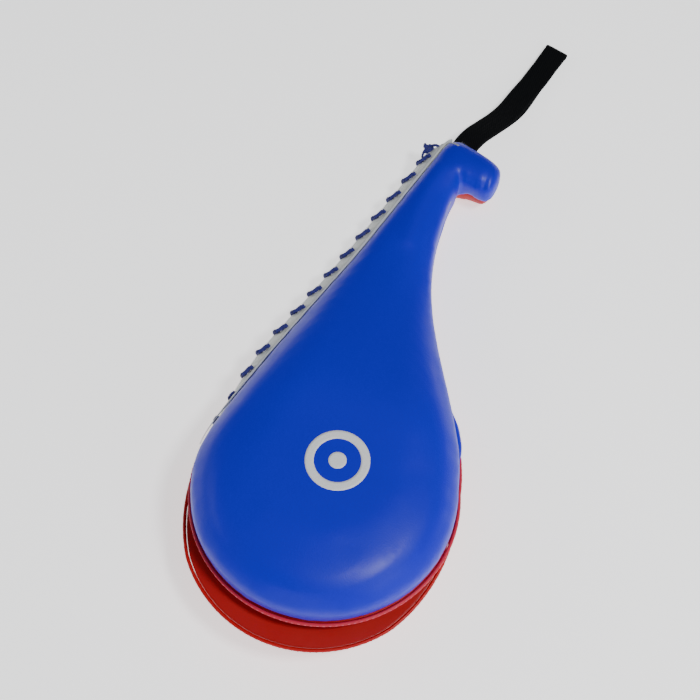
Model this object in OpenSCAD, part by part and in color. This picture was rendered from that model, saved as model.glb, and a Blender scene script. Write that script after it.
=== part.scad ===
// Double kick paddle: two padded teardrop blades on one hooked grip, with a laced spine
// and a wrist loop. It lies on its rear blade. Origin: centre of the belly circle, on the
// flat rear face. +Y runs to the grip, +Z from the rear blade to the front blade.

/* [Blades] */
// Radius of the round belly
belly_r = 91; // [86:1:96]
// Thickness of each padded blade
blade_t = 36; // [32:1:40]
// Thickness of each half at the grip
grip_t = 23; // [21:1:26]
// Height of the upright edge of each pad, up from its lining
wall_h = 10; // [8:1:12]
// Width of the rounded rim on a blade
blade_rim = 32; // [26:1:36]
// Width of the rounded rim on the grip
grip_rim = 18; // [15:1:19]
// How far the rear blade reaches past the front one at the tip
rear_reach = 11; // [0:1:14]
// Angle at which the two blades stand open
open_angle = 4.5; // [4:0.1:6]
// Height of the throat, where the blades leave the grip
throat_y = 35; // [33:1:40]

/* [Grip] */
// Height of the top left corner of the grip
grip_end_y = 303; // [298:1:306]
// How much the end of the grip slopes down towards the hook
end_slope = 0.4; // [0.3:0.05:0.45]
// How far the hook stands out, from the long axis
hook_x = 36; // [32:1:40]
// How far the laced ridge stands out from the cover's edge
ridge_out = 11; // [8:1:13]
// Distance between two stitches of the lacing
stitch_pitch = 21; // [18:1:24]
// Number of stitches of the lacing
stitch_count = 14; // [12:1:14]

/* [Materials' thickness] */
// Thickness of the leather covers
skin = 1.5; // [1.2:0.1:2]
// Thickness of the lining sheets
lining_t = 1.2; // [0.8:0.1:1.4]
// Thickness of the stiffening boards
board_t = 2; // [1.5:0.1:2.5]
// Radius of the welt round each lining
welt_r = 1; // [0.8:0.1:1.1]
// Radius of the lacing thread
thread_r = 0.9; // [0.7:0.1:1]

/* [Wrist strap] */
// Width of the webbing
strap_w = 20; // [16:1:22]
// Thickness of the webbing
strap_t = 1.3; // [1:0.1:1.4]

/* [Hidden] */
FRONT = 1;
REAR = -1;
gap = 0.3;
slack = 1.1;
tuck = 2;
swing = 8.5;
columns = 12;
blue = [0.02, 0.14, 0.75];
red = [0.75, 0.02, 0.05];
white = [0.85, 0.87, 0.85];
navy = [0.04, 0.05, 0.35];
foam_grey = [0.55, 0.56, 0.58];

// Outline: belly arc, then a straight spine edge on the left and one curve on the right
spine_turn = 15.3;
neck_turn = 19.6;
corner = [-15, grip_end_y - 1];
neck = [9, 237];
mouth = [12, grip_end_y - 2];
spine_start = [-belly_r * cos(spine_turn), belly_r * sin(spine_turn)];
right_start = [belly_r * cos(neck_turn), belly_r * sin(neck_turn)];
right_pull = [75, 88];
neck_pull = [9, 150];

function mix(a, b, t) = a + (b - a) * t;
function clamp01(t) = min(1, max(0, t));
function ease(t) = let (c = clamp01(t)) c * c * (3 - 2 * c);
function bezier(a, b, c, d, t) =
    pow(1 - t, 3) * a + 3 * pow(1 - t, 2) * t * b + 3 * (1 - t) * t * t * c + pow(t, 3) * d;

// Thickness, rim width and mid height at a height y along the paddle
function thick(y) = mix(blade_t, grip_t, ease((y - 50) / 150));
function rim(y) = mix(blade_rim, grip_rim, ease((y - 60) / 160));
function apart(y) = y > 60 ? 0
    : tan(open_angle) * (y > 10 ? pow(60 - y, 2) / 100 : 25 + 10 - y);

// Left and right edge of the outline, moved inwards by s
function left_x(y, s) =
    y < spine_start.y ? -sqrt(max(0, pow(belly_r - s, 2) - y * y))
    : mix(spine_start.x, corner.x, (y - spine_start.y) / (corner.y - spine_start.y)) + s;
function right_low(y, s) = sqrt(max(0, pow(belly_r - s, 2) - y * y));

// A station is [y, left x, right x, slope of the section line]
function belly_stations(s, top) =
    let (r = belly_r - s, last = acos(-top / r))
    [for (k = [0:11]) let (y = -r * cos(mix(5, last, k / 11)))
        [y, left_x(y, s), y < right_start.y ? right_low(y, s) : right_edge(y) - s, 0]];
function right_edge(y) = let (t = solve_t(y, 0, 1, 12))
    bezier(right_start, right_pull, neck_pull, neck, t).x;
function solve_t(y, lo, hi, n) = let (mid = (lo + hi) / 2)
    n == 0 ? mid
    : bezier(right_start, right_pull, neck_pull, neck, mid).y < y
        ? solve_t(y, mid, hi, n - 1) : solve_t(y, lo, mid, n - 1);
function right_x(y) = y < neck.y ? right_edge(y)
    : mix(neck.x, mouth.x, (y - neck.y) / (mouth.y - neck.y));
function grip_stations(s, from, to, count) =
    [for (k = [0:count]) let (y = mix(from, to, k / count),
        slope = -end_slope * ease((y - neck.y) / 50))
        [y, left_x(y, s), right_x(y) - s, slope]];

// Depth of a point inside the outline, and the height of the dome at that depth
function depth(x, y) = y < spine_start.y ? belly_r - norm([x, y])
    : min(x - left_x(y, 0), right_x(y) - x) * 0.96;
function dome(d, y) = let (q = clamp01(max(0, d) / rim(y)))
    wall_h + (thick(y) - wall_h) * sqrt(1 - pow(1 - q, 2));

// From a half's own height h to the row frame: the rear half is mirrored, and its blade
// reaches further
function place(side, x, y, h, slope = 0) =
    let (reach = side == REAR ? rear_reach * clamp01((throat_y - 1 - y) / 90) : 0)
    [x, y - reach + slope * x,
     side == REAR ? thick(y) - h : thick(y) + apart(y) + h];

// The grip's face at the throat leans back, so that the blades can swing
function groove(y, h) = abs(y - grip_low) > 0.01 ? 0 : h * tan(swing);
// One cross-section: the dome from left to right, s inside the outline and s below it
function dome_row(side, st, s) =
    [for (i = [0:columns]) let (x = mix(st[1], st[2], (1 - cos(180 * i / columns)) / 2),
        h = dome(depth(x, st[0]) - s, st[0]) - s)
        place(side, x, st[0] + groove(st[0], h), h, st[3])];
function foot(side, st, end, h, in = tuck) =
    place(side, end == 0 ? st[1] + in : st[2] - in, st[0], h, st[3]);
function reversed(list) = [for (i = [len(list) - 1:-1:0]) list[i]];

// Closed skin through a list of equal rings. An end is flat where the rings have an odd
// count, and otherwise a strip between ring point i and the point as far from the ring's end.
module loft(rings) {
    n = len(rings[0]);
    last = (len(rings) - 1) * n;
    points = [for (r = rings) each r];
    sides = [for (j = [0:n:last - n], i = [0:n - 1]) let (a = j + i, b = j + (i + 1) % n)
        each [[a, b, b + n], [a, b + n, a + n]]];
    strip = n % 2 == 1 ? [[for (i = [0:n - 1]) i]]
        : [for (i = [0:n / 2 - 2]) each [[i, i + 1, n - 2 - i], [i, n - 2 - i, n - 1 - i]]];
    polyhedron(points, concat(sides, [for (f = strip) reversed(f)],
        [for (f = strip) [for (i = f) i + last]]), convexity = 6);
}
// The mirrored rear half is turned inside out, so its rings run the other way round
module half_loft(side, rings)
    loft(side == REAR ? rings : [for (r = rings) reversed(r)]);

function base_h(y) = mix(gap, 3, ease((y - 44) / 20));
welt_room = 2 * welt_r + gap;
module pad_shell(side, outer, inner, on_grip = false)
    half_loft(side, [for (j = [0:len(outer) - 1])
        let (o = outer[j], n = inner[j], h = on_grip ? base_h(o[0]) : welt_room)
        concat([foot(side, o, 0, h)], dome_row(side, o, 0), [foot(side, o, 1, h)],
            [foot(side, n, 1, h)], reversed(dome_row(side, n, skin)), [foot(side, n, 0, h)])]);
module pad_filling(side, stations, floor_low, floor_high, from = 130)
    half_loft(side, [for (st = stations)
        let (h = mix(floor_low, floor_high, ease((st[0] - from) / 30)))
        concat([foot(side, st, 0, h, tuck + slack)], dome_row(side, st, skin + slack),
            [foot(side, st, 1, h, tuck + slack)])]);
module sheet(side, stations, low, high)
    half_loft(side, [for (st = stations)
        [place(side, st[1], st[0], low, st[3]), place(side, st[1], st[0], high, st[3]),
         place(side, st[2], st[0], high, st[3]), place(side, st[2], st[0], low, st[3])]]);

// Keeps a blended form as one closed mesh
module as_mesh() resize([0, 0, 0]) children();

blade_top = throat_y - gap;
grip_low = throat_y + gap;
cover_end = grip_end_y + 1;

module blade_cover(side) color(side == FRONT ? blue : red)
    pad_shell(side, belly_stations(0, blade_top), belly_stations(skin, blade_top));
module blade_foam(side) color(foam_grey)
    pad_filling(side, belly_stations(skin + slack, blade_top), 4, 4);
module blade_board(side) color("burlywood")
    sheet(side, belly_stations(8, blade_top - 2), 1.6, 1.6 + board_t);
module blade_lining(side) color([0.8, 0.1, 0.15])
    sheet(side, belly_stations(tuck + skin + 0.2, blade_top), 0.1, 0.1 + lining_t);

// Tube through a list of [centre, across, up] frames
module tube(frames, r, sides = 8) loft([for (f = frames)
    [for (k = [0:sides - 1]) f[0] + r * (cos(360 * k / sides) * f[1]
        + sin(360 * k / sides) * f[2])]]);
module blade_welt(side) color([0.85, 0.2, 0.3]) {
    r = belly_r - welt_r;
    turns = 40;
    tube([for (k = [0:turns]) let (a = mix(-20, 200, k / turns),
        out = [cos(a), -sin(a), 0])
        [place(side, r * out.x, r * out.y, welt_r + 0.1), out, [0, 0, 1]]], welt_r);
}

module grip_cover(side) color(side == FRONT ? blue : red)
    pad_shell(side, grip_stations(0, grip_low, cover_end, 22),
        grip_stations(skin, grip_low, cover_end, 22), true);
module grip_foam(side) color(foam_grey)
    pad_filling(side, grip_stations(skin + slack, grip_low, cover_end - 3, 18), 0.6, 5.5);

// Mid height of the grip's end and hook
mid_z = grip_t;
arm_half = 4;
arm_t = 5;
module hook_plan(r) hull()
    for (p = [[20, 277], [20, 286], [hook_x - 7, 274], [hook_x - 6.5, 287]])
        translate(p) circle(r, $fn = 32);
// Padded cover over one side of the hook
module hook_cover(side) color(side == FRONT ? blue : red) translate([0, 0, mid_z])
    mirror([0, 0, side == FRONT ? 0 : 1]) hull() {
        translate([0, 0, arm_half + gap]) linear_extrude(7) hook_plan(6.5);
        translate([0, 0, grip_t - 5]) linear_extrude(1) hook_plan(5);
        translate([0, 0, grip_t - 2]) linear_extrude(1) hook_plan(1.5);
    }
// Band round the hook between its two covers
module hook_band() color(blue) translate([0, 0, mid_z - arm_half]) linear_extrude(2 * arm_half)
    difference() {
        hook_plan(6.5);
        hook_plan(6.5 - skin);
        translate([5, 271.5]) square([11, 16]);
    }
module handle_core() color("tan") loft([for (k = [0:6]) let (y = mix(170, 262, k / 6),
    z = thick(y), x = mix(left_x(y, 9), right_x(y) - 9, 0.5))
    [[x - 9, y, z - 4.5], [x + 9, y, z - 4.5], [x + 9, y, z + 4.5], [x - 9, y, z + 4.5]]]);
module hook_arm() color("tan") translate([0, 0, mid_z - arm_t / 2]) linear_extrude(arm_t)
    polygon([[-14, 270], [2, 274.5], [hook_x - 9, 275.5], [hook_x - 6, 277.5],
             [hook_x - 8, 281.5], [2, 281.5], [-14, 279]]);

// Blue strip that closes the right side of the grip, fullest at the throat
module side_gusset() color(blue) loft([for (k = [0:16]) let (y = mix(66, 258, k / 16),
    out = mix(2.2, 0.5, ease((y - 74) / 40)) * ease((y - 52) / 20), x = right_x(y))
    [[x - tuck - skin, y, thick(y) - 2.6], [x + out, y, thick(y) - 2.2],
     [x + out, y, thick(y) + 2.2], [x - tuck - skin, y, thick(y) + 2.6]]]);

// Patch that closes the end of the grip, with the mouth for the strap
exit = [3, grip_end_y + 4.5, mid_z];
end_turn = -atan(end_slope);
module end_patch() color(blue) difference() {
    translate([-1.5, cover_end + gap + 0.6, mid_z]) rotate([0, 0, end_turn])
        translate([-12.5, 0, -19]) cube([27, skin, 38]);
    translate([exit.x, exit.y, mid_z]) rotate([0, 0, end_turn])
        cube([strap_w + 3, 14, 5.4], center = true);
}

// White panels: from the cover's widest edge out and down to the laced ridge
spine_low = 15;
spine_high = grip_end_y + 1;
function ridge(y) = ridge_out * ease((y + 4) / 96) + 0.8;
function panel_y(k) = mix(spine_low, spine_high, k / 24);
function panel_x(y) = left_x(y, 0) - mix(1.1, gap, ease((y - 30) / 20));
module spine_panel(side) color(white) half_loft(side, [for (k = [0:24])
    let (y = panel_y(k), x = panel_x(y), e = ridge(y),
         slope = -end_slope * ease((y - neck.y) / 50))
    [place(side, x, y, wall_h - 1.6, slope), place(side, x - e + 1.4, y, gap, slope),
     place(side, x - e, y, gap, slope), place(side, x, y, wall_h + 0.8, slope)]]);

// Each stitch goes from the front panel round the ridge to the rear panel
function stitch_y(k) = 24 + k * stitch_pitch * cos(spine_turn);
// The grip's sections slope, so a stitch at height y sits on the section that starts lower
function section_y(y) = y + end_slope * ease((y - neck.y) / 50) * left_x(y, 0);
module spine_lacing() color(navy) as_mesh() for (k = [0:stitch_count - 1])
    let (y = stitch_y(k), s = section_y(y), e = ridge(s), x = panel_x(s), z = thick(s),
         high = wall_h * 0.62 + thread_r + 0.6)
    tube([for (a = [-90:30:90]) let (inset = e * 0.5 * (1 - cos(a)))
        [[x - e - thread_r - 1.3 + inset, y - 1.2 * cos(a), z + high * sin(a)],
         [0, 1, 0], [-cos(a), 0, sin(a)]]], thread_r);

// Knot that ties off the lacing: a ring and a bead, flat on the slope of the front panel
knot_section = 290;
panel_turn = atan((wall_h + 0.5) / ridge(knot_section));
module lacing_knot() color(navy) let (x = panel_x(knot_section) - ridge(knot_section) / 2)
    translate([x, knot_section - end_slope * x, thick(knot_section) + wall_h / 2 + 0.5])
    rotate([0, -panel_turn, 0]) translate([0, 0, thread_r + 0.7]) {
        rotate_extrude($fn = 32) translate([3, 0]) circle(thread_r, $fn = 16);
        translate([0, 6.2, 1.2]) sphere(1.9, $fn = 24);
    }

// Webbing tails sewn between the halves, and the free loop
module strap_anchor() color([0.05, 0.05, 0.06]) translate([exit.x, exit.y, mid_z])
    rotate([0, 0, end_turn]) translate([-strap_w / 2, -21, -strap_t - 0.1])
        cube([strap_w, 17, 2 * strap_t + 0.2]);

// Route of the loop's middle, out of the grip's end and down to where it lies
route = [[3, 308, 23], [5, 317, 23.5], [8, 329, 22], [12.5, 342, 18.5], [19, 358, 13.5],
         [24, 374, 9.5], [29, 396, 6], [33.5, 415, 4.3], [37.5, 432, 3.6], [41.5, 448, 3.6]];
route_steps = 3;
function catmull(a, b, c, d, t) = 0.5 * (2 * b + (c - a) * t + (2 * a - 5 * b + 4 * c - d) * t * t
    + (3 * b - a - 3 * c + d) * t * t * t);
function on_route(u) = let (n = len(route) - 1, i = min(n - 1, floor(u)), t = u - i)
    catmull(route[max(0, i - 1)], route[i], route[i + 1], route[min(n, i + 2)], t);
span = len(route) - 1;
function heading(u) = let (d = on_route(min(span, u + 0.1)) - on_route(max(0, u - 0.1)))
    [d.x, d.y, 0] / norm([d.x, d.y]);
function spread(u) = mix(0.85, 2.4, ease(u / span));
bight_r = 2.4;
// Path of the webbing: out on the upper run, round the bight, back on the lower run
upper_run = [for (k = [0:span * route_steps]) let (u = k / route_steps)
    [on_route(u) + [0, 0, spread(u)], heading(u), [0, 0, 1]]];
bight_end = on_route(span);
bight_dir = heading(span);
bight = [for (a = [60:-30:-60]) [bight_end + bight_r * 1.3 * cos(a) * bight_dir
    + [0, 0, bight_r * sin(a)], bight_dir, [0, 0, sin(a)] + cos(a) * bight_dir]];
lower_run = [for (k = [span * route_steps:-1:0]) let (u = k / route_steps)
    [on_route(u) - [0, 0, spread(u)], heading(u), [0, 0, -1]]];
module wrist_strap() color([0.05, 0.05, 0.06]) {
    loft([for (f = concat(upper_run, bight, lower_run))
        let (across = [f[1].y, -f[1].x, 0] * strap_w / 2, up = f[2] * strap_t / 2)
        [f[0] + across - up, f[0] - across - up, f[0] - across + up, f[0] + across + up]]);
}
module strap_tack() color([0.25, 0.25, 0.28]) translate([exit.x + 1.6, exit.y + 6, mid_z + 2.8])
    rotate([0, 0, end_turn]) cube([strap_w - 4, 2.4, 0.8], center = true);

blade_cover(FRONT);  // front_cover
blade_foam(FRONT);  // front_foam
blade_board(FRONT);  // front_board
blade_lining(FRONT);  // front_lining
blade_welt(FRONT);  // front_welt
blade_cover(REAR);  // rear_cover
blade_foam(REAR);  // rear_foam
blade_board(REAR);  // rear_board
blade_lining(REAR);  // rear_lining
blade_welt(REAR);  // rear_welt
grip_cover(FRONT);  // front_grip_cover
grip_cover(REAR);  // rear_grip_cover
hook_cover(FRONT);  // front_hook_cover
hook_cover(REAR);  // rear_hook_cover
grip_foam(FRONT);  // front_grip_foam
grip_foam(REAR);  // rear_grip_foam
hook_band();
handle_core();
hook_arm();
side_gusset();
end_patch();
spine_panel(FRONT);  // front_spine_panel
spine_panel(REAR);  // rear_spine_panel
spine_lacing();
lacing_knot();
strap_anchor();
wrist_strap();
strap_tack();
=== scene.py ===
"""Double kick paddle: two padded leather blades on one hooked, laced grip, with a wrist loop."""
import math

import bpy
import numpy as np
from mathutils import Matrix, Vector
from mathutils.bvhtree import BVHTree
from mathutils.geometry import delaunay_2d_cdt


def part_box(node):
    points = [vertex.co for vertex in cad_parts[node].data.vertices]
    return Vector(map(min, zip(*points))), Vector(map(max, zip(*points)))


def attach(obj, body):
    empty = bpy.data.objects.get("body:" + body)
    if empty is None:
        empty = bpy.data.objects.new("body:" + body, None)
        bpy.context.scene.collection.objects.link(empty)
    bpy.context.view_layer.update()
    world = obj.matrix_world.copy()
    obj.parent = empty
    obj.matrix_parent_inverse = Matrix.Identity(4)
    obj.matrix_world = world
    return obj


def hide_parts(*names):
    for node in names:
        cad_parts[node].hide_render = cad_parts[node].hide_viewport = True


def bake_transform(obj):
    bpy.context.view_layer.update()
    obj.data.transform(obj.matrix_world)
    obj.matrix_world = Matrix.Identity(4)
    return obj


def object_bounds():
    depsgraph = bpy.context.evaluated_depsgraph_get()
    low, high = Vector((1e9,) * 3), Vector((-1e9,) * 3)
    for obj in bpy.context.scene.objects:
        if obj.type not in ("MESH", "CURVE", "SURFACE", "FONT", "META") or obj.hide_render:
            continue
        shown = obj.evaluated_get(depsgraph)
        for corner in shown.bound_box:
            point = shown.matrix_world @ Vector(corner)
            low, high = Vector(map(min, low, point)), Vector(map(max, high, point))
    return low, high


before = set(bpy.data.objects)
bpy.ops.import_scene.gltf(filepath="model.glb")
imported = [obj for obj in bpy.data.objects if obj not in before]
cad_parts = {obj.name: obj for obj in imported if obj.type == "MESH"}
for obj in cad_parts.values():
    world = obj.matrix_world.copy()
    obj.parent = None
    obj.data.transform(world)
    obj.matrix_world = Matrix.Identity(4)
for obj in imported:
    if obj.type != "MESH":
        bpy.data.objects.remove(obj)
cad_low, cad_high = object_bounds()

# Lengths in the shape functions are millimetres; meshes are made in metres.
MM = 0.001
FRONT, REAR = 1, -1

# ---------------------------------------------------------------- sizes from the frame
blade_low, blade_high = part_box("rear_cover")
_, hook_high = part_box("front_hook_cover")
_, lining_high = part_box("rear_lining")
BELLY_R = (blade_high.x - blade_low.x) / 2 / MM
BLADE_T = lining_high.z / MM + 0.1
GRIP_T = hook_high.z / 2 / MM
# The rear blade's skin reaches a little further at the tip than its plain solid in the frame
REACH_PAST_FRAME = 4
REAR_REACH = -blade_low.y / MM - BELLY_R * math.cos(math.radians(5)) + REACH_PAST_FRAME
WALL_H = 10
THROAT_Y = 35
SPINE_START = (-87.8, 24.0)
CORNER = (-13.6, 302.1)
MID_Z = GRIP_T
REAR_R = BELLY_R - 0.4


def point(x, y, z):
    return Vector((x * MM, y * MM, z * MM))


# ---------------------------------------------------------------- camera, floor and light
def aim(thing, place, target):
    thing.location = place
    thing.rotation_euler = (target - place).to_track_quat("-Z", "Y").to_euler()


def set_camera():
    """Looks down on the paddle from its tip's right, at 64 degrees above the table."""
    turn, lift, distance = math.radians(20), math.radians(64), 0.85
    centre = (cad_low + cad_high) / 2
    target = Vector((centre.x - 0.0187, centre.y - 0.0694, 0.040))
    away = Vector((math.sin(turn) * math.cos(lift), -math.cos(turn) * math.cos(lift),
                   math.sin(lift)))
    camera = bpy.data.objects.new("camera", bpy.data.cameras.new("camera"))
    bpy.context.scene.collection.objects.link(camera)
    camera.data.sensor_width = 36
    camera.data.lens = 61.15
    camera.data.clip_start = 0.01
    aim(camera, target + distance * away, target)
    bpy.context.scene.camera = camera


def softbox(name, place, target, width, height, watts, tint=(1, 1, 1)):
    lamp = bpy.data.lights.new(name, "AREA")
    lamp.shape, lamp.size, lamp.size_y = "RECTANGLE", width, height
    lamp.energy, lamp.color = watts, tint
    stand = bpy.data.objects.new(name, lamp)
    bpy.context.scene.collection.objects.link(stand)
    aim(stand, Vector(place), Vector(target))


def set_light():
    softbox("key_softbox", (0.62, -0.02, 1.30), (0.05, 0, 0.07), 0.26, 0.20, 12)
    softbox("right_softbox", (1.25, -0.55, 0.75), (0, 0.1, 0), 0.7, 0.7, 5)
    softbox("left_softbox", (-1.20, -0.10, 0.75), (0, 0.1, 0), 0.8, 0.5, 2.5)
    softbox("tip_softbox", (0.15, -1.30, 0.60), (0, 0, 0), 0.8, 0.5, 2.5)
    world = bpy.context.scene.world or bpy.data.worlds.new("studio")
    bpy.context.scene.world = world
    world.use_nodes = True
    sky = world.node_tree.nodes["Background"]
    sky.inputs["Color"].default_value = (0.93, 0.95, 1.0, 1)
    sky.inputs["Strength"].default_value = 0.16


# ---------------------------------------------------------------- finishes
class Value:
    """A number on a node socket: arithmetic on it adds Math nodes."""

    def __init__(self, finish, socket):
        self.finish, self.socket = finish, socket

    def _math(self, operation, first, second):
        return self.finish.node("ShaderNodeMath", {"operation": operation}, {0: first, 1: second})

    def __add__(self, other):
        return self._math("ADD", self, other)

    def __radd__(self, other):
        return self._math("ADD", other, self)

    def __sub__(self, other):
        return self._math("SUBTRACT", self, other)

    def __rsub__(self, other):
        return self._math("SUBTRACT", other, self)

    def __mul__(self, other):
        return self._math("MULTIPLY", self, other)

    def __rmul__(self, other):
        return self._math("MULTIPLY", other, self)


class Finish:
    """A procedural material that is built node by node round one Principled shader."""

    def __init__(self, name, **fixed):
        self.material = bpy.data.materials.new(name)
        self.material.use_nodes = True
        self.nodes = self.material.node_tree.nodes
        self.surface = self.nodes["Principled BSDF"]
        for socket, value in fixed.items():
            self.surface.inputs[socket.replace("_", " ")].default_value = value

    def node(self, kind, settings=None, inputs=None, output=0):
        made = self.nodes.new(kind)
        for name, value in (settings or {}).items():
            if name == "stops":
                for stop, (place, shade) in zip(made.color_ramp.elements, value):
                    stop.position, stop.color = place, (shade, shade, shade, 1)
            else:
                setattr(made, name, value)
        self.connect(made, inputs or {})
        return Value(self, made.outputs[output])

    def connect(self, made, inputs):
        for name, value in inputs.items():
            if isinstance(value, Value):
                self.material.node_tree.links.new(value.socket, made.inputs[name])
            else:
                made.inputs[name].default_value = value

    def place(self):
        return self.node("ShaderNodeTexCoord", output=3)

    def noise(self, where, scale, detail=3.0, roughness=0.55):
        return self.node("ShaderNodeTexNoise", None, {
            "Vector": where, "Scale": scale, "Detail": detail, "Roughness": roughness})

    def cells(self, where, scale, feature="F1"):
        return self.node("ShaderNodeTexVoronoi", {"feature": feature}, {
            "Vector": where, "Scale": scale})

    def ramp(self, value, low, high):
        return self.node("ShaderNodeValToRGB", {"stops": [(low, 0), (high, 1)]}, {"Fac": value})

    def blend(self, first, second, factor):
        return self.node("ShaderNodeMix", {"data_type": "RGBA"}, {
            0: factor, 6: first, 7: second}, 2)

    def finish(self, colour=None, roughness=None, height=None, strength=0.3, depth=0.0003):
        wanted = {"Base Color": colour, "Roughness": roughness}
        if height is not None:
            wanted["Normal"] = self.node("ShaderNodeBump", None, {
                "Strength": strength, "Distance": depth, "Height": height})
        self.connect(self.surface, {k: v for k, v in wanted.items() if v is not None})
        return self.material


def shade(colour, amount):
    return tuple(min(1, c * amount) for c in colour) + (1,)


def leather(name, colour, gloss=0.36, grain=1.0, dirt=0.78):
    """Coated leather: fine pebbled grain, slow drift of shade, and scuffs that dull it a little."""
    skin = Finish(name, Specular_IOR_Level=0.28, Coat_Roughness=0.30, Coat_IOR=1.45)
    where = skin.place()
    pebbles = skin.cells(where, 1250, "SMOOTH_F1")
    creases = skin.noise(where, 700, 4)
    drift = skin.noise(where, 14, 2)
    scuffs = skin.ramp(skin.noise(where, 95, 6, 0.7), 0.5, 0.75)
    grained = skin.blend(shade(colour, 0.86), shade(colour, 1.06), pebbles * 0.9 + creases * 0.35)
    drifted = skin.blend(grained, shade(colour, dirt), drift * 0.45)
    rough = gloss + drift * 0.08 + scuffs * 0.07
    skin.connect(skin.surface, {"Coat Weight": 0.12 - scuffs * 0.07})
    height = pebbles * 0.75 + creases * 0.45
    return skin.finish(drifted, rough, height, 0.22 * grain, 0.00035)


def thread(name, colour):
    """Laid cotton thread: fine slanting fibres."""
    yarn = Finish(name, Sheen_Weight=0.25, Sheen_Roughness=0.5)
    where = yarn.place()
    fibres = yarn.noise(where, 3800, 2)
    shaded = yarn.blend(shade(colour, 0.6), shade(colour, 1.5), fibres)
    return yarn.finish(shaded, 0.62 + fibres * 0.15, fibres, 0.4, 0.0002)


def webbing(name, colour):
    """Ribbed black webbing: rows of slanted picks along each rib, and a paler worn nap."""
    cloth = Finish(name, Specular_IOR_Level=0.15)
    weave = cloth.node("ShaderNodeAttribute", {"attribute_name": "weave"}, output=1)
    ribs = cloth.node("ShaderNodeTexWave", {"bands_direction": "X"}, {
        "Vector": weave, "Scale": 130.0, "Distortion": 0.3})
    picks = cloth.node("ShaderNodeTexWave", {"bands_direction": "DIAGONAL"}, {
        "Vector": weave, "Scale": 260.0, "Distortion": 0.6})
    fuzz = cloth.noise(cloth.place(), 900, 5)
    height = ribs * 0.6 + picks * 0.5 + fuzz * 0.2
    dyed = cloth.blend(shade(colour, 0.55), shade(colour, 2.6), picks * 0.5 + fuzz * 0.35)
    return cloth.finish(dyed, 0.74 + fuzz * 0.18, height, 0.55, 0.0004)


def vinyl_ink(name, colour):
    ink = Finish(name)
    where = ink.place()
    speckle = ink.ramp(ink.noise(where, 1500, 4), 0.3, 0.62)
    worn = ink.blend(shade(colour, 0.88), shade(colour, 1.0), speckle)
    return ink.finish(worn, 0.42 + speckle * 0.1, ink.cells(where, 1250, "SMOOTH_F1"), 0.15, 0.0003)


def foam(name, colour):
    cell = Finish(name)
    where = cell.place()
    pores = cell.cells(where, 900)
    tinted = cell.blend(shade(colour, 0.7), shade(colour, 1.1), pores)
    return cell.finish(tinted, 0.85 + pores * 0.1, pores, 0.5, 0.0005)


def pressed_board(name, colour):
    sheet = Finish(name)
    where = sheet.place()
    fibres = sheet.noise(where, 400, 8, 0.75)
    tinted = sheet.blend(shade(colour, 0.6), shade(colour, 1.15), fibres)
    return sheet.finish(tinted, 0.7 + fibres * 0.15, fibres, 0.35, 0.0003)


def timber(name, colour):
    wood = Finish(name)
    rings = wood.node("ShaderNodeTexWave", {"wave_type": "RINGS", "rings_direction": "Y"}, {
        "Vector": wood.place(), "Scale": 90.0, "Distortion": 3.0, "Detail": 3.0})
    tinted = wood.blend(shade(colour, 0.65), shade(colour, 1.1), rings)
    return wood.finish(tinted, 0.5 + rings * 0.1, rings, 0.2, 0.0002)


def floor_paint():
    paper = Finish("studio_paper", Specular_IOR_Level=0.2, Emission_Color=(1, 1, 1, 1),
                   Emission_Strength=1.1)
    tone = paper.noise(paper.place(), 3, 2)
    white = paper.blend((0.86, 0.87, 0.88, 1), (0.90, 0.905, 0.91, 1), tone)
    return paper.finish(white, 0.7 + tone * 0.1)


BLUE = leather("blue_leather", (0.0, 0.002, 0.62), 0.40)
RED = leather("red_leather", (0.52, 0.0, 0.0), 0.44)
LINING_RED = leather("red_lining_cloth", (0.42, 0.0, 0.002), 0.6, 0.6)
# Front welt: red leather painted lighter and pinker than the rear welt's red. The extra pink is a
# painted highlight for its edge catching the light from above.
WELT_RED_PAINTED_HIGHLIGHT = leather("red_welt_leather_painted_highlight", (0.66, 0.02, 0.05), 0.5, 0.5)
WHITE = leather("white_leather", (0.70, 0.73, 0.71), 0.42, 0.8, 0.84)
NAVY = thread("navy_thread", (0.012, 0.014, 0.20))
# Front welt stitches: real stitches whose thread is painted pale pink as part of the painted
# highlight along the lit welt edge.
PALE_THREAD_PAINTED_HIGHLIGHT = thread("pale_welt_thread_painted_highlight", (0.70, 0.10, 0.15))
RED_THREAD = thread("red_welt_thread", (0.40, 0.0, 0.004))
BLACK = webbing("black_webbing", (0.0016, 0.0020, 0.0026))
GREY_THREAD = thread("grey_tack_thread", (0.05, 0.05, 0.06))
INK = vinyl_ink("white_ink", (0.86, 0.88, 0.90))


# ---------------------------------------------------------------- shape of the pads
def ease(t):
    t = np.clip(t, 0, 1)
    return t * t * (3 - 2 * t)


def mix(a, b, t):
    return a + (b - a) * t


def thick(y):
    """Thickness of one half, from the blades to the grip."""
    return mix(BLADE_T, GRIP_T, ease((y - 50) / 150))


def apart(y):
    """How far the front blade stands open from the rear one."""
    y = np.asarray(y, float)
    lift = np.where(y > 10, np.square(60 - y) / 100, THROAT_Y - y)
    return math.tan(math.radians(4.5)) * np.where(y > 60, 0, lift)


def bezier(a, b, c, d, count=40):
    t = np.linspace(0, 1, count, endpoint=False)[:, None]
    a, b, c, d = (np.array(p, float) for p in (a, b, c, d))
    return (1 - t) ** 3 * a + 3 * (1 - t) ** 2 * t * b + 3 * (1 - t) * t * t * c + t ** 3 * d


def respaced(line, step, closed=True):
    """The same line with its points an equal distance apart."""
    ring = np.vstack([line, line[:1]]) if closed else line
    run = np.concatenate([[0], np.cumsum(np.linalg.norm(np.diff(ring[:, :2], axis=0), axis=1))])
    count = max(3, int(round(run[-1] / step)))
    at = np.linspace(0, run[-1], count + (0 if closed else 1), endpoint=not closed)
    return np.stack([np.interp(at, run, ring[:, k]) for k in range(ring.shape[1])], axis=1)


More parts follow.
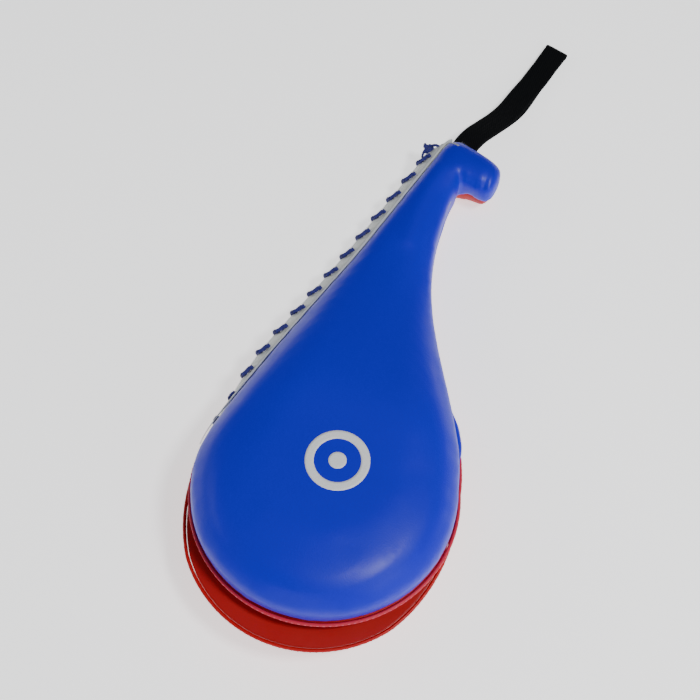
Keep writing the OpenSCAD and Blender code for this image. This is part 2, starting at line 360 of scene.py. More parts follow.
def pad_outline(radius):
    """Outline of a half, round from the spine's foot by the tip, as rows of x, y, rim width."""
    turn = np.linspace(math.pi - math.radians(15.3), 2 * math.pi + math.radians(19.6), 160)
    scale = radius / BELLY_R
    belly = np.stack([radius * np.cos(turn), radius * np.sin(turn)], axis=1)
    right = bezier((85.7 * scale, 30.5), (75.6 * scale, 87.3), (9.6, 149.7), (9.1, 236.6), 90)
    inner_corner = bezier((9.1, 236.6), (7.6, 252.0), (7.6, 267.0), (13.6, 270.6))
    hook_under = bezier((13.6, 270.6), (18.6, 273.0), (24.6, 268.0), (30.6, 267.2))
    hook_end = bezier((30.6, 267.2), (37.6, 268.6), (40.8, 287.0), (37.4, 295.0))
    grip_top = bezier((37.4, 295.0), (33.6, 302.0), (11.0, 307.8), (-3.6, 310.4))
    top_corner = bezier((-3.6, 310.4), (-8.1, 311.4), (-11.2, 309.1), CORNER)
    spine = np.linspace(CORNER, (SPINE_START[0] * scale, SPINE_START[1]), 150)
    parts = [
        (belly, np.full(len(belly), 32.0)),
        (right, mix(32, 24, ease((right[:, 1] - 60) / 160))),
        (inner_corner, np.linspace(24, 11, len(inner_corner))),
        (hook_under, np.linspace(11, 9, len(hook_under))),
        (hook_end, np.full(len(hook_end), 8.0)),
        (grip_top, np.linspace(8, 10, len(grip_top))),
        (top_corner, np.full(len(top_corner), 9.0)),
        (spine, mix(32, 9, ease((spine[:, 1] - 60) / 110))),
    ]
    rows = [np.column_stack([line, rims]) for line, rims in parts]
    return respaced(np.vstack(rows), 1.0)


def outward(line):
    """Unit normals that point out of a line that runs round anticlockwise."""
    ahead = np.roll(line[:, :2], -1, axis=0) - np.roll(line[:, :2], 1, axis=0)
    ahead /= np.linalg.norm(ahead, axis=1)[:, None]
    return np.stack([ahead[:, 1], -ahead[:, 0]], axis=1)


def rim_share(places, outline):
    """0 on the outline, 1 where the rounded rim ends, and the distance to the outline."""
    share, distance = [], []
    for some in np.array_split(places, max(1, len(places) // 2000)):
        gap = np.linalg.norm(some[:, None, :] - outline[None, :, :2], axis=2)
        distance.append(gap.min(axis=1))
        share.append((gap / outline[None, :, 2]).min(axis=1))
    return np.concatenate(share), np.concatenate(distance)


def inside(places, outline):
    """Which of the places lie inside the outline."""
    x, y = places[:, 0][:, None], places[:, 1][:, None]
    x0, y0 = outline[:, 0][None], outline[:, 1][None]
    x1, y1 = np.roll(outline[:, 0], -1)[None], np.roll(outline[:, 1], -1)[None]
    crosses = (y0 > y) != (y1 > y)
    reach = x0 + (y - y0) / np.where(y1 == y0, 1e-9, y1 - y0) * (x1 - x0)
    return (crosses & (x < reach)).sum(axis=1) % 2 == 1


def dome(share, y):
    """Height of the face: a steep rounded rim that eases into a nearly flat middle."""
    top = np.sqrt(1 - (1 - np.clip(share * 0.8, 0, 1)) ** 2.6)
    return WALL_H + (thick(y) - WALL_H) * top


def placed(side, x, y, h):
    """Row frame position of a point at height h above a half's lining."""
    if side == FRONT:
        return np.column_stack([x, y, thick(y) + apart(y) + h])
    slid = y - REAR_REACH * np.clip((THROAT_Y - 1 - y) / 90, 0, 1)
    return np.column_stack([x, slid, thick(y) - h])


def base_h(side, x, y):
    """Where a half's own skin ends, above its lining. On the grip the front skin wraps down
    over the side of the rear one, except at the mouth where the strap comes out."""
    grip = ease((y - 62) / 25)
    mouth = ease((y + 0.4 * x - 285) / 8) * ease((24 - x) / 8)
    hook = ease((x - 8) / 6) * ease((y - 252) / 8)
    wrap = np.where(side == FRONT, mix(-13.0, -3.0, hook), 0.6)
    return mix(1.7, mix(wrap, 1.6, mouth), grip)


def new_object(name, verts, faces, material, smooth=True):
    mesh = bpy.data.meshes.new(name)
    mesh.from_pydata([tuple(v) for v in np.asarray(verts, float) * MM], [], faces)
    mesh.validate()
    mesh.update()
    thing = bpy.data.objects.new(name, mesh)
    bpy.context.scene.collection.objects.link(thing)
    mesh.materials.append(material)
    if smooth:
        mesh.polygons.foreach_set("use_smooth", [True] * len(mesh.polygons))
    return thing


def filled(outline, step, margin=1.6):
    """Triangles over an outline: its own points, two rows close inside, and an even grid."""
    edge = respaced(outline, step)
    rows = [edge[:, :2]]
    for inset in (0.7, 2.0):
        row = edge[:, :2] - outward(edge) * inset
        gap = rim_share(row, outline)[1]
        rows.append(row[(gap > inset * 0.85) & inside(row, outline)])
    low, high = edge[:, :2].min(axis=0), edge[:, :2].max(axis=0)
    xs, ys = np.meshgrid(np.arange(low[0], high[0], step), np.arange(low[1], high[1], step * 0.87))
    xs = xs + (np.arange(len(xs)) % 2)[:, None] * step / 2
    grid = np.column_stack([xs.ravel(), ys.ravel()])
    keep = inside(grid, outline)
    grid = grid[keep]
    rows.append(grid[rim_share(grid, outline)[1] > 2.0 + margin])
    flat = np.vstack(rows)
    ring = list(range(len(edge)))
    found, _, faces, _, _, _ = delaunay_2d_cdt([Vector(p) for p in flat], [], [ring], 1, 1e-4)
    return np.array([tuple(p) for p in found]), [tuple(f) for f in faces]


def closed_between(top, bottom, faces):
    """A closed solid between two sheets that share one set of triangles."""
    count = len(top)
    directed = {(a, b) for f in faces for a, b in zip(f, f[1:] + f[:1])}
    rim = [(a, b) for a, b in directed if (b, a) not in directed]
    under = [tuple(i + count for i in reversed(f)) for f in faces]
    wall = [(b, a, a + count, b + count) for a, b in rim]
    return np.vstack([top, bottom]), list(faces) + under + wall


def applied(thing):
    """Bakes the object's modifiers into its mesh."""
    graph = bpy.context.evaluated_depsgraph_get()
    graph.update()
    mesh = bpy.data.meshes.new_from_object(thing.evaluated_get(graph))
    old = thing.data
    thing.modifiers.clear()
    thing.data = mesh
    bpy.data.meshes.remove(old)
    mesh.polygons.foreach_set("use_smooth", [True] * len(mesh.polygons))


def corners(thing):
    co = np.empty(len(thing.data.vertices) * 3)
    thing.data.vertices.foreach_get("co", co)
    return co.reshape(-1, 3)


def put_corners(thing, co):
    thing.data.vertices.foreach_set("co", np.ascontiguousarray(co, float).ravel())
    thing.data.update()


def normals(thing):
    out = np.empty(len(thing.data.vertices) * 3)
    thing.data.vertices.foreach_get("normal", out)
    return out.reshape(-1, 3)


def remeshed(thing, voxel, passes):
    cut = thing.modifiers.new("even", "REMESH")
    cut.mode, cut.voxel_size, cut.use_smooth_shade = "VOXEL", voxel * MM, True
    calm = thing.modifiers.new("calm", "SMOOTH")
    calm.factor, calm.iterations = 0.5, passes
    applied(thing)


def evened(thing, values, passes):
    """Values at the corners, averaged with their neighbours' again and again."""
    ends = np.empty(len(thing.data.edges) * 2, int)
    thing.data.edges.foreach_get("vertices", ends)
    a, b = ends.reshape(-1, 2).T
    count = np.bincount(np.concatenate([a, b]), minlength=len(values)).clip(1)
    for _ in range(passes):
        total = np.bincount(a, values[b], len(values)) + np.bincount(b, values[a], len(values))
        values = 0.5 * values + 0.5 * total / count
    return values


def softened(values, faces, held, passes):
    """Values at the points of a triangle net, averaged with their neighbours' where not held."""
    ends = np.array([(a, b) for f in faces for a, b in zip(f, f[1:] + f[:1])])
    a, b = ends.T
    count = np.bincount(a, minlength=len(values)).clip(1)
    for _ in range(passes):
        near = np.bincount(a, values[b], len(values)) / count
        values = np.where(held, values, 0.5 * values + 0.5 * near)
    return values


def blown_up(thing, held, cap):
    """Cloth with air pressure inside: the held corners stay, the rest swells by up to cap.
    The foam under the skin keeps it from buckling inwards, so only an even swelling is kept."""
    before = corners(thing)
    group = thing.vertex_groups.new(name="held")
    group.add([int(i) for i in np.flatnonzero(held)], 1.0, "REPLACE")
    cloth = thing.modifiers.new("swell", "CLOTH")
    cloth.settings.use_pressure = True
    cloth.settings.uniform_pressure_force = 4
    cloth.settings.effector_weights.gravity = 0
    cloth.settings.vertex_group_mass = "held"
    cloth.settings.quality = 4
    cloth.settings.mass = 0.3
    cloth.settings.tension_stiffness = 25
    cloth.settings.compression_stiffness = 25
    cloth.settings.bending_stiffness = 1.5
    cloth.point_cache.frame_start, cloth.point_cache.frame_end = 1, 20
    for moment in range(1, 21):
        bpy.context.scene.frame_set(moment)
    applied(thing)
    bpy.context.scene.frame_set(1)
    moved = corners(thing) - before
    put_corners(thing, before)
    out = normals(thing)
    swell = np.clip((moved * out).sum(axis=1), 0, cap * MM)
    swell = np.where(held, 0, evened(thing, swell, 14))
    put_corners(thing, before + out * swell[:, None])
    thing.vertex_groups.clear()


def finer(thing):
    smooth = thing.modifiers.new("round", "SUBSURF")
    smooth.levels = smooth.render_levels = 1
    applied(thing)


# ---------------------------------------------------------------- folds in the skin
def groove(places, start, end, width, depth):
    """Depth of a fold along a line that is deepest at its start and runs out at its end."""
    start, end = np.array(start, float), np.array(end, float)
    run = end - start
    t = np.clip((places - start) @ run / (run @ run), 0, 1)
    off = np.linalg.norm(places - (start + t[:, None] * run), axis=1)
    return depth * (1 - ease(t)) * np.exp(-np.square(off / width))


def swelling(places, line, width, height):
    """A low ridge along a line of points."""
    line = np.array(line, float)
    best = np.full(len(places), 1e9)
    for a, b in zip(line[:-1], line[1:]):
        run = b - a
        t = np.clip((places - a) @ run / (run @ run), 0, 1)
        best = np.minimum(best, np.linalg.norm(places - (a + t[:, None] * run), axis=1))
    return height * np.exp(-np.square(best / width))


def ripple(places, scale, seed):
    """Slow, even waves in a skin over foam, between -1 and 1."""
    x, y = places[:, 0] / scale, places[:, 1] / scale
    return (np.sin(1.7 * x + 0.6 * y + seed) + np.sin(0.8 * x - 1.9 * y + 2.1 * seed)
            + np.sin(2.3 * y + 0.5 * x + 0.7 * seed)) / 3


def fold_skin(thing, side):
    co = corners(thing) / MM
    flat = co[:, :2]
    out = normals(thing)
    face = np.clip(out[:, 2] * side, 0, 1)
    push = 0.05 * ripple(flat, 15, 1.0 + side) + 0.04 * ripple(flat, 7, 4.0 + side)
    push += 1.2 * swelling(flat, [(-9, 276), (-12, 258), (-13, 232), (-11, 205)], 7, 1) * face
    push -= groove(flat, (12, 270), (3, 283), 3.2, 3.0)
    push -= groove(flat, (12, 270), (-3, 274), 5.0, 0.9)
    for k, x in enumerate((17.5, 20.8, 24.0, 27.0)):
        push -= groove(flat, (x, 267), (x - 3 + k, 283 - k), 1.3, 1.2) * (0.3 + 0.7 * face)
    push -= groove(flat, (29, 269), (26.5, 292), 2.8, 1.8) * face
    put_corners(thing, (co + out * push[:, None]) * MM)


def on_table(thing):
    co = corners(thing)
    co[:, 2] = np.maximum(co[:, 2], 0.0)
    put_corners(thing, co)


def padded_half(name, side, radius, inset, material):
    """One half's skin over its foam, from the tip to the hook, blown tight and then creased."""
    outline = pad_outline(radius)
    grip = ease((outline[:, 1] - 70) / 30)
    hook = ease((outline[:, 0] - 8) / 6) * ease((outline[:, 1] - 252) / 8)
    outline[:, :2] -= outward(outline) * (1.4 + inset * (grip + 1.8 * hook))[:, None]
    flat, faces = filled(outline, 3.0)
    share, depth = rim_share(flat, outline)
    x, y = flat[:, 0], flat[:, 1]
    height = softened(dome(share, y), faces, depth < 0.3, 6)
    low = np.minimum(base_h(side, x, y), WALL_H - 2)
    top = placed(side, x, y, height - 0.8)
    bottom = placed(side, x, y, low)
    if side == REAR:
        faces = [tuple(reversed(f)) for f in faces]
    verts, faces = closed_between(top, bottom, faces)
    thing = new_object(name, verts, faces, material)
    remeshed(thing, 3.2, 5)
    co = corners(thing) / MM
    below = placed(side, co[:, 0], co[:, 1], base_h(side, co[:, 0], co[:, 1]))[:, 2]
    held = (co[:, 2] - below) * side < 2.2
    blown_up(thing, held, 2.0)
    finer(thing)
    fold_skin(thing, side)
    if side == REAR:
        on_table(thing)
    return thing


def across_throat(thing):
    """Bakes the piece's placement into its mesh."""
    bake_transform(thing)


# ---------------------------------------------------------------- linings, welts and prints
def lining(name, side, radius):
    """Sheet that closes a blade's inner face, with a faint quilted ripple."""
    outline = pad_outline(radius)
    outline[:, :2] -= outward(outline) * 1.6
    outline = outline[outline[:, 1] < 66]
    outline = respaced(outline, 1.5)
    flat, faces = filled(outline, 5.0)
    x, y = flat[:, 0], flat[:, 1]
    wave = 0.25 * ripple(flat, 11, 2.0 + side)
    outer, inner = placed(side, x, y, 0.35 + wave), placed(side, x, y, 1.6 + wave)
    if side == FRONT:
        faces = [tuple(reversed(f)) for f in faces]
    return new_object(name, *closed_between(outer, inner, faces), LINING_RED)


def frames_along(path, up=(0, 0, 1)):
    """Unit directions across and upward at each point of a path."""
    ahead = np.gradient(path, axis=0)
    ahead /= np.linalg.norm(ahead, axis=1)[:, None]
    across = np.cross(ahead, np.array(up, float))
    across /= np.maximum(np.linalg.norm(across, axis=1), 1e-9)[:, None]
    return across, np.cross(across, ahead)


def tube(path, radius, sides=8, up=(0, 0, 1)):
    """Vertices and faces of a round cord along a path, closed at its ends."""
    path = np.asarray(path, float)
    across, rise = frames_along(path, up)
    radius = np.broadcast_to(radius, len(path))
    turn = np.linspace(0, 2 * math.pi, sides, endpoint=False)
    rings = path[:, None] + radius[:, None, None] * (
        np.cos(turn)[None, :, None] * across[:, None] + np.sin(turn)[None, :, None] * rise[:, None])
    verts = rings.reshape(-1, 3)
    faces = [(i * sides + k, i * sides + (k + 1) % sides, (i + 1) * sides + (k + 1) % sides,
              (i + 1) * sides + k) for i in range(len(path) - 1) for k in range(sides)]
    last = (len(path) - 1) * sides
    faces += [tuple(range(sides))[::-1], tuple(last + k for k in range(sides))]
    return verts, faces


def joined(parts):
    verts, faces, count = [], [], 0
    for some, more in parts:
        verts.append(some)
        faces += [tuple(i + count for i in f) for f in more]
        count += len(some)
    return np.vstack(verts), faces


def blade_edge(radius, top_y):
    """The outline's stretch round the blade, from the spine by the tip to the right."""
    line = pad_outline(radius)
    line = line[line[:, 1] < top_y]
    split = int(np.argmax(np.linalg.norm(np.diff(line[:, :2], axis=0), axis=1))) + 1
    if split < len(line) - 1:
        line = np.vstack([line[split:], line[:split]])
    return respaced(line, 2.0, closed=False)


def welt(name, side, radius, material):
    """Rolled leather strip that is sewn into the seam between the skin and the lining."""
    line = blade_edge(radius, 64)
    out = outward(line)
    out[0], out[-1] = out[1], out[-2]
    x, y = (line[:, :2] - out * 0.1).T
    path = placed(side, x, y, np.full(len(x), 0.75))
    taper = np.minimum(1, np.minimum(np.arange(len(x)), np.arange(len(x))[::-1]) / 6 + 0.25)
    size = 1.25 + 0.06 * np.sin(np.arange(len(x)) * 1.9)
    return new_object(name, *tube(path, size * taper, 10), material)


def welt_stitches(name, side, radius, material):
    """Short stitches through the welt, one every four millimetres."""
    line = respaced(blade_edge(radius, 60), 4.0, closed=False)
    out = outward(line)
    out[0], out[-1] = out[1], out[-2]
    parts = []
    for (x, y, _), (nx, ny) in zip(line, out):
        along = np.linspace(-1.15, 1.15, 5)
        reach = 0.62 + 0.3 * np.cos(along / 1.15 * math.pi / 2)
        px, py = x - ny * along + nx * reach, y + nx * along + ny * reach
        h = np.full(5, 1.35)
        parts.append(tube(placed(side, px, py, h), [0.12, 0.26, 0.3, 0.26, 0.12], 6))
    return new_object(name, *joined(parts), material)


def target_print(skin):
    """Plain ring and dot printed on the striking face, draped over the finished skin."""
    tree = BVHTree.FromObject(skin, bpy.context.evaluated_depsgraph_get())

    def on_skin(x, y):
        hit, normal, _, _ = tree.ray_cast(point(x, y, 200), Vector((0, 0, -1)))
        return np.array(hit) / MM, np.array(normal)

    cx, cy, parts, around = 4.8, 12.6, [], 96
    for inner, outer, steps in ((15.5, 21.5, 4), (0.0, 6.0, 4)):
        radii = np.linspace(max(inner, 0.01), outer, steps + 1)
        sheet, lift = [], []
        for r in radii:
            for k in range(around):
                a = 2 * math.pi * k / around
                where, normal = on_skin(cx + r * math.cos(a), cy + r * math.sin(a))
                sheet.append(where + normal * 0.16)
                lift.append(where - normal * 0.25)
        faces = [(i * around + k, (i + 1) * around + k, (i + 1) * around + (k + 1) % around,
                  i * around + (k + 1) % around) for i in range(steps) for k in range(around)]
        if inner == 0.0:
            faces.append(tuple(range(around)))
        parts.append(closed_between(np.array(sheet), np.array(lift), faces))
    return new_object("target_print", *joined(parts), INK)


# ---------------------------------------------------------------- laced spine
PITCH, STITCHES, FIRST_STITCH = 21.0, 14, 24.0


def spine_line():
    """The pad's edge from the spine's foot up and round the top corner, with outward normals."""
    line = pad_outline(BELLY_R)
    out = outward(line)
    on_spine = (line[:, 0] < -8.5) & (line[:, 1] > 1)
    rows = np.column_stack([line[:, :2], out])[on_spine]
    rows = rows[np.argsort(rows[:, 1] + (rows[:, 0] + 15.1) * (rows[:, 1] > 302))]
    rows = respaced(rows, PITCH / 14, closed=False)
    rows[:, 2:] /= np.linalg.norm(rows[:, 2:], axis=1)[:, None]
    return rows


def stitch_rows(rows):
    """Index of the row nearest each stitch."""
    rise = math.cos(math.radians(15.3))
    return [int(np.argmin(np.abs(rows[:, 1] - (FIRST_STITCH + k * PITCH * rise))))
            for k in range(STITCHES)]


def ridge_out(rows):
    """How far the laced ridge stands out from the pad, drawn in a little at each stitch."""
    reach = 11.0 * ease((rows[:, 1] + 4) / 96) + 0.8
    reach = reach * mix(1, 0.55, ease((rows[:, 0] + 15.5) / 5) * (rows[:, 1] > 295))
    at = np.arange(len(rows))
    for k in stitch_rows(rows):
        reach -= 1.5 * ease(reach / 6) * np.exp(-np.square((at - k) / 2.2))
    return reach


def on_panel(row, reach, v, lift, side):
    """Point of the spine panel at share v from the pad's edge to the ridge, lifted off it."""
    x, y, nx, ny = row
    h = 0.3 + (WALL_H + 0.8) * (1 - v ** 1.25) + 1.0 * math.sin(math.pi * v)
    fall = math.atan2(WALL_H, reach)
    out = reach * v - 0.9 + lift * math.sin(fall)
    return (x + nx * out, y + ny * out,
            float(thick(np.array(y))) + side * (h + lift * math.cos(fall)))


def spine_panel(name, side):
    """White panel from the pad's edge to the ridge, puckered between the stitches."""
    rows = spine_line()
    reach = ridge_out(rows)
    columns = 12
    at = np.arange(len(rows)) * PITCH / 14
    sheet, under = [], []
    for c in range(columns + 1):
        v = c / columns
        x = rows[:, 0] + rows[:, 2] * (reach * v - 0.9)
        y = rows[:, 1] + rows[:, 3] * (reach * v - 0.9)
        mid = thick(rows[:, 1]) + side * 0.15
        h = 0.3 + (WALL_H + 0.8) * (1 - v ** 1.25) + 1.0 * math.sin(math.pi * v)
        pleat = 0.55 * np.sin((at + 5.5 * v) * 2 * math.pi / 5.3) * np.sin(at * 0.21 + 1.0 + side)
        gather = 1.0 * np.sin(at * 2 * math.pi / 3.4) * ease((rows[:, 1] - 298) / 6)
        bump = (pleat + gather) * math.sin(math.pi * min(1, v * 1.08)) * ease(reach / 6)
        z = mid + side * (h + bump * 0.8)
        sheet.append(np.column_stack([x + rows[:, 2] * bump * 0.5, y + rows[:, 3] * bump * 0.5, z]))
        inner = np.column_stack([x - rows[:, 2] * 0.9, y - rows[:, 3] * 0.9, z - side * 0.9])
        inner[:, 2] = np.where((inner[:, 2] - mid) * side < 0, mid, inner[:, 2])
        under.append(inner)
    verts_top, verts_under = np.vstack(sheet), np.vstack(under)
    count = len(rows)
    faces = [(c * count + i, c * count + i + 1, (c + 1) * count + i + 1, (c + 1) * count + i)
             for c in range(columns) for i in range(count - 1)]
    if side == FRONT:
        faces = [tuple(reversed(f)) for f in faces]
    thing = new_object(name, *closed_between(verts_top, verts_under, faces), WHITE)
    finer(thing)
    return thing


def turned_edge(name, side):
    """Folded white edge that is sewn down beside the coloured skin."""
    rows = spine_line()
    y = rows[:, 1]
    reach = ease((y - 4) / 60)
    path = np.column_stack([rows[:, 0] + rows[:, 2] * 0.5, y + rows[:, 3] * 0.5,
                            thick(y) + side * (WALL_H + 1.2)])
    return new_object(name, *tube(path, 0.25 + 0.85 * reach, 8), WHITE)


def twisted(path, radius, turn_length=3.2):
    """Two plies of thread laid round each other along a path."""
    path = respaced_3d(np.asarray(path, float), 0.7)
    across, rise = frames_along(path, (0.31, 0.2, 0.93))
    run = np.arange(len(path)) * 0.7 * 2 * math.pi / turn_length
    end = np.minimum(1, np.minimum(np.arange(len(path)), np.arange(len(path))[::-1]) / 2 + 0.35)
    plies = []
    for start in (0, math.pi):
        swing = np.cos(run + start)[:, None] * across + np.sin(run + start)[:, None] * rise
        plies.append(tube(path + swing * radius * 0.48, radius * 0.62 * end, 7, (0.31, 0.2, 0.93)))
    return joined(plies)


def respaced_3d(path, step):
    run = np.concatenate([[0], np.cumsum(np.linalg.norm(np.diff(path, axis=0), axis=1))])
    at = np.linspace(0, run[-1], max(4, int(run[-1] / step)) + 1)
    return np.stack([np.interp(at, run, path[:, k]) for k in range(3)], axis=1)


def spine_thread():
    """Lacing: at each stitch a dash along the front panel, over the ridge, and a dash behind."""
    rows = spine_line()
    reach = ridge_out(rows)
    parts = []
    for k in stitch_rows(rows):
        half = 2 if reach[k] > 5 else 1
        size = mix(0.75, 1.0, ease(reach[k] / 9))
        dash = [(half, 0.50, -0.8), (half, 0.56, 1.4), (0, 0.66, 2.0), (-half, 0.78, 1.7)]
        front = [on_panel(rows[k + a], reach[k + a], v, lift * size, FRONT) for a, v, lift in dash]
        back = [on_panel(rows[k + a], reach[k + a], v, lift * size, REAR) for a, v, lift in dash]
        x, y, nx, ny = rows[k - half]
        turn = reach[k - half] + 0.55
        crown = (x + nx * turn, y + ny * turn, float(thick(np.array(y))))
        parts.append(twisted(smooth_path(front + [crown] + back[::-1]), 1.75 * size))
    return new_object("spine_thread", *joined(parts), NAVY)


def smooth_path(points, steps=6):
    """Catmull-Rom curve through the points."""
    p = np.array(points, float)
    p = np.vstack([2 * p[0] - p[1], p, 2 * p[-1] - p[-2]])
    t = np.linspace(0, 1, steps, endpoint=False)[:, None]
    out = [0.5 * (2 * b + (c - a) * t + (2 * a - 5 * b + 4 * c - d) * t ** 2
                  + (3 * b - a - 3 * c + d) * t ** 3)
           for a, b, c, d in zip(p[:-3], p[1:-2], p[2:-1], p[3:])]
    return np.vstack(out + [p[-2:-1]])


def end_knot():
    """Overhand knot that ties off the lacing, with its loop and two cut tails."""
    cx, cy, cz = -25.5, 300.5, MID_Z + 5.0
    turn = np.linspace(0, 2 * math.pi, 40)
    trefoil = np.column_stack([
        cx + 1.15 * (np.sin(turn) + 2 * np.sin(2 * turn)),
        cy + 1.35 * (np.cos(turn) - 2 * np.cos(2 * turn)),
        cz - 0.95 * np.sin(3 * turn)])
    loop = smooth_path([(cx + 1, cy + 1, cz), (cx + 3, cy + 2.5, cz + 2.0),
                        (cx + 6, cy + 3.0, cz + 3), (cx + 8, cy + 2.5, cz + 2.5),
                        (cx + 9, cy + 1, cz + 1)])
    tails = [smooth_path([(cx, cy, cz + 0.4), (cx - 1.6, cy - 3, cz + 1.2),
                          (cx - 2.2, cy - 6, cz - 0.5), (cx - 2.0, cy - 8.5, cz - 3)]),
             smooth_path([(cx, cy, cz), (cx - 2.5, cy + 1.5, cz + 1),
                          (cx - 4, cy + 3.8, cz - 0.6)])]
    parts = [twisted(trefoil, 1.4), twisted(loop, 1.2)] + [twisted(t, 1.1) for t in tails]
    return new_object("end_knot", *joined(parts), NAVY)


# ---------------------------------------------------------------- gusset and strap
def throat_gusset():
    """Blue strip let into the side seam, which bellies out where the blades part."""
    line = blade_edge(BELLY_R, 262)
    right = line[(line[:, 0] > 0) & (line[:, 1] > 50)]
    right = respaced(right, 2.5, closed=False)
    out = outward(right)
    out[0], out[-1] = out[1], out[-2]
    y = right[:, 1]
    bulge = 2.6 * ease((y - 50) / 16) * (1 - ease((y - 74) / 22)) - 0.9 * ease((y - 74) / 22)
    high = mix(3.2, 2.0, ease((y - 70) / 60))
    verts, columns = [], 10
    for c in range(columns + 1):
        a = math.pi * (c / columns - 0.5)
        reach = (bulge + 1.4) * math.cos(a) - 1.4 + 0.12 * np.sin(y * 1.3) * math.cos(a)
        verts.append(np.column_stack([right[:, 0] + out[:, 0] * reach, y + out[:, 1] * reach,
                                      thick(y) + high * math.sin(a)]))
    back = [v - np.column_stack([out * 1.6, np.zeros(len(y))]) for v in verts]
    count = len(y)
    faces = [(c * count + i, c * count + i + 1, (c + 1) * count + i + 1, (c + 1) * count + i)
             for c in range(columns) for i in range(count - 1)]
    solid = closed_between(np.vstack(verts), np.vstack(back), faces)
    thing = new_object("throat_gusset", *solid, BLUE)
    finer(thing)
    return thing


ROUTE = [(0, 308, 23), (1.5, 317, 23.5), (5.5, 329, 22), (11.5, 342, 18.5), (18.5, 358, 13.5),
         (24, 374, 9.5), (29, 396, 6), (33.5, 415, 4.3), (37.5, 432, 3.6), (41.5, 448, 3.6)]
STRAP_W, STRAP_T = 20.0, 1.3


def strap_run():
    """Centre line of the webbing: out on top, round the bight and back underneath."""
    middle = smooth_path([(-2, 292, 23)] + ROUTE, 10)
    share = ease((middle[:, 1] - 305) / 143)
    spread = mix(0.78, 2.3, share)
    drift = np.sin(share * 9.0) * 0.9 * share
    ahead = np.gradient(middle[:, :2], axis=0)
    ahead /= np.linalg.norm(ahead, axis=1)[:, None]
    across = np.column_stack([ahead[:, 1], -ahead[:, 0]])
    upper = middle + np.column_stack([across * drift[:, None], spread])
    lower = middle - np.column_stack([across * drift[:, None], spread])
    tip, onward = middle[-1], np.append(ahead[-1], 0)
    bend = [tip + onward * 3.0 * math.cos(a) + np.array([0, 0, 2.3 * math.sin(a)])
            for a in np.linspace(math.pi / 2, -math.pi / 2, 9)[1:-1]]
    return respaced_3d(np.vstack([upper, bend, lower[::-1]]), 1.4)


def strap_webbing():
    path = strap_run()
    ahead = np.gradient(path, axis=0)
    ahead /= np.linalg.norm(ahead, axis=1)[:, None]
    plan = np.array([0.28, 0.96, 0])
    across = np.cross(plan, (0, 0, 1.0))
    across = across - ahead * (ahead @ across)[:, None]
    across /= np.linalg.norm(across, axis=1)[:, None]
    rise = np.cross(across, ahead)
    columns = 20
    u = np.linspace(-1, 1, columns + 1)
    plump = np.sqrt(np.clip(1 - np.abs(u) ** 7, 0, 1)) * (1 + 0.10 * np.cos(u * math.pi * 5))
    half = STRAP_T / 2
    section = [(a * STRAP_W / 2, half * b) for a, b in zip(u, plump)]
    section += [(a * STRAP_W / 2, -half * b) for a, b in zip(u[-2:0:-1], plump[-2:0:-1])]
    section = np.array(section)
    run = np.concatenate([[0], np.cumsum(np.linalg.norm(np.diff(path, axis=0), axis=1))])
    verts = (path[:, None] + section[None, :, :1] * across[:, None]
             + section[None, :, 1:] * rise[:, None]).reshape(-1, 3)
    n = len(section)
    faces = [(i * n + k, i * n + (k + 1) % n, (i + 1) * n + (k + 1) % n, (i + 1) * n + k)
             for i in range(len(path) - 1) for k in range(n)]
    last = (len(path) - 1) * n
    faces += [tuple(range(n))[::-1], tuple(last + k for k in range(n))]
    thing = new_object("strap_webbing", verts, faces, BLACK)
    weave = thing.data.attributes.new("weave", "FLOAT_VECTOR", "POINT")
    values = np.column_stack([np.tile(section[:, 0], len(path)), np.repeat(run, n),
                              np.tile(section[:, 1], len(path))]) * MM
    weave.data.foreach_set("vector", values.ravel())
    return thing


def end_leather():
    """Blue strips that close the end of the grip above and below the mouth for the strap."""
    turn = -math.atan(0.42)
    middle_x, middle_y, mouth_h, strip_t = 1.5, 306.4, 3.0, 1.6
    along = np.linspace(-12.5, 13.5, 15)
    verts, faces = [], []
    for side in (FRONT, REAR):
        first = len(verts)
        for a in along:
            rise = mouth_h + 5.5 * (1 - abs(a / 14.0) ** 3)
            for depth, h in ((0, mouth_h), (0, rise), (-strip_t, rise), (-strip_t, mouth_h)):
                verts.append((middle_x + a * math.cos(turn) - depth * math.sin(turn),
                              middle_y + a * math.sin(turn) + depth * math.cos(turn),
                              MID_Z + side * h))
        for i in range(len(along) - 1):
            for k in range(4):
                b, c = first + 4 * i + k, first + 4 * i + (k + 1) % 4
                face = (b, c, c + 4, b + 4)
                faces.append(face if side == FRONT else face[::-1])
        ends = [tuple(first + k for k in range(4))[::-1],
                tuple(first + 4 * (len(along) - 1) + k for k in range(4))]
        faces += ends if side == FRONT else [e[::-1] for e in ends]
    return new_object("end_leather", verts, faces, BLUE, smooth=False)


def bar_tack():
    """Zigzag of thread that sews the two tails together just outside the grip."""
    x0, y0 = 4.6, 313.5
    zigzag = [(x0 - 7.6 + k * 0.8, y0 - 0.4 * (k * 0.8 - 7.6) + (1.5 if k % 2 else -1.5), 25.0)
              for k in range(20)]
    path = respaced_3d(np.array(zigzag, float), 0.6)
    return new_object("strap_bar_tack", *tube(path, 0.32, 6), GREY_THREAD)


# ---------------------------------------------------------------- put together
set_camera()
set_light()
FLOOR_HALF = 4000
floor_corners = [(FLOOR_HALF * a, FLOOR_HALF * b, 0)
                 for a, b in ((-1, -1), (1, -1), (1, 1), (-1, 1))]
floor = new_object("floor", floor_corners, [(0, 1, 2, 3)], floor_paint())
floor.location.z = -0.0002

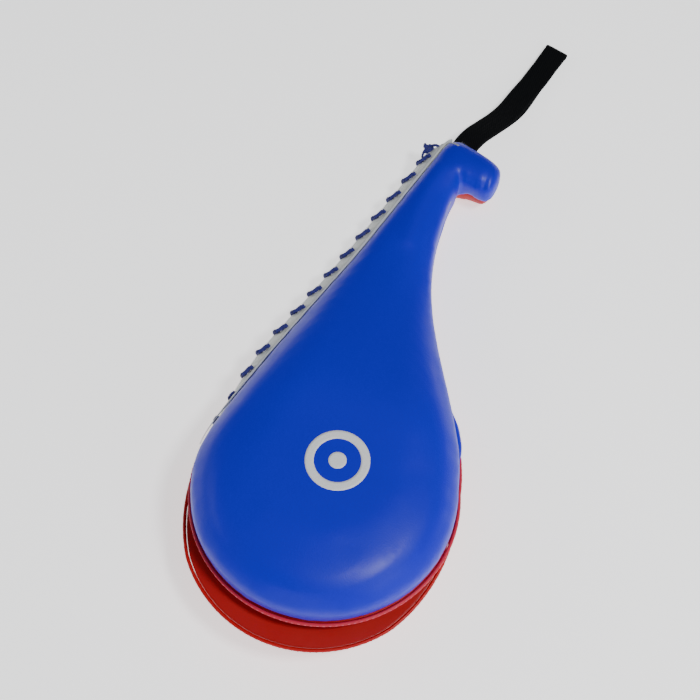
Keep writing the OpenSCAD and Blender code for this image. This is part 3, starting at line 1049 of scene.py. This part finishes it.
front_skin = padded_half("front_skin", FRONT, BELLY_R, 0.0, BLUE)
rear_skin = padded_half("rear_skin", REAR, REAR_R, 1.6, RED)
prints = target_print(front_skin)
front_lining = lining("front_lining_sheet", FRONT, BELLY_R)
rear_lining = lining("rear_lining_sheet", REAR, REAR_R)
# The front welt and its stitches carry painted highlight colours; the rear welt and its stitches
# are plain red.
front_welt = welt("front_welt_roll", FRONT, BELLY_R, WELT_RED_PAINTED_HIGHLIGHT)
rear_welt = welt("rear_welt_roll", REAR, REAR_R, RED)
front_sewing = welt_stitches("front_welt_stitches", FRONT, BELLY_R, PALE_THREAD_PAINTED_HIGHLIGHT)
rear_sewing = welt_stitches("rear_welt_stitches", REAR, REAR_R, RED_THREAD)
front_white = spine_panel("front_spine_leather", FRONT)
rear_white = spine_panel("rear_spine_leather", REAR)
front_fold = turned_edge("front_turned_edge", FRONT)
rear_fold = turned_edge("rear_turned_edge", REAR)
lacing = spine_thread()
knot = end_knot()
gusset = throat_gusset()
strap = strap_webbing()
tack = bar_tack()
end_piece = end_leather()

for piece in (front_skin, prints, front_lining, front_welt, front_sewing, front_white, front_fold):
    across_throat(piece)
for piece in (rear_skin, rear_lining, rear_welt, rear_sewing, rear_white, rear_fold):
    across_throat(piece)
for piece in (lacing, knot, gusset, end_piece):
    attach(piece, "grip")
for piece in (strap, tack):
    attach(piece, "strap")

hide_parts("front_cover", "front_grip_cover", "front_hook_cover", "hook_band")
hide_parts("rear_cover", "rear_grip_cover", "rear_hook_cover")
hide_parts("front_lining")
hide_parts("rear_lining")
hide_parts("front_welt")
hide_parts("rear_welt")
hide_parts("front_spine_panel")
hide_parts("rear_spine_panel")
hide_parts("spine_lacing")
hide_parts("lacing_knot")
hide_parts("side_gusset")
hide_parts("wrist_strap")
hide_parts("strap_tack")
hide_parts("end_patch")

# Parts inside the padding keep their shapes from the frame
FOAM = foam("grey_foam", (0.42, 0.43, 0.45))
BOARD = pressed_board("fibre_board", (0.42, 0.27, 0.13))
TIMBER = timber("beech", (0.55, 0.36, 0.18))
INNER = {
    "front_foam": FOAM, "rear_foam": FOAM, "front_grip_foam": FOAM, "rear_grip_foam": FOAM,
    "front_board": BOARD, "rear_board": BOARD, "handle_core": TIMBER, "hook_arm": TIMBER,
    "strap_anchor": BLACK}
for name, material in INNER.items():
    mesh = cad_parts[name].data
    mesh.materials.clear()
    mesh.materials.append(material)
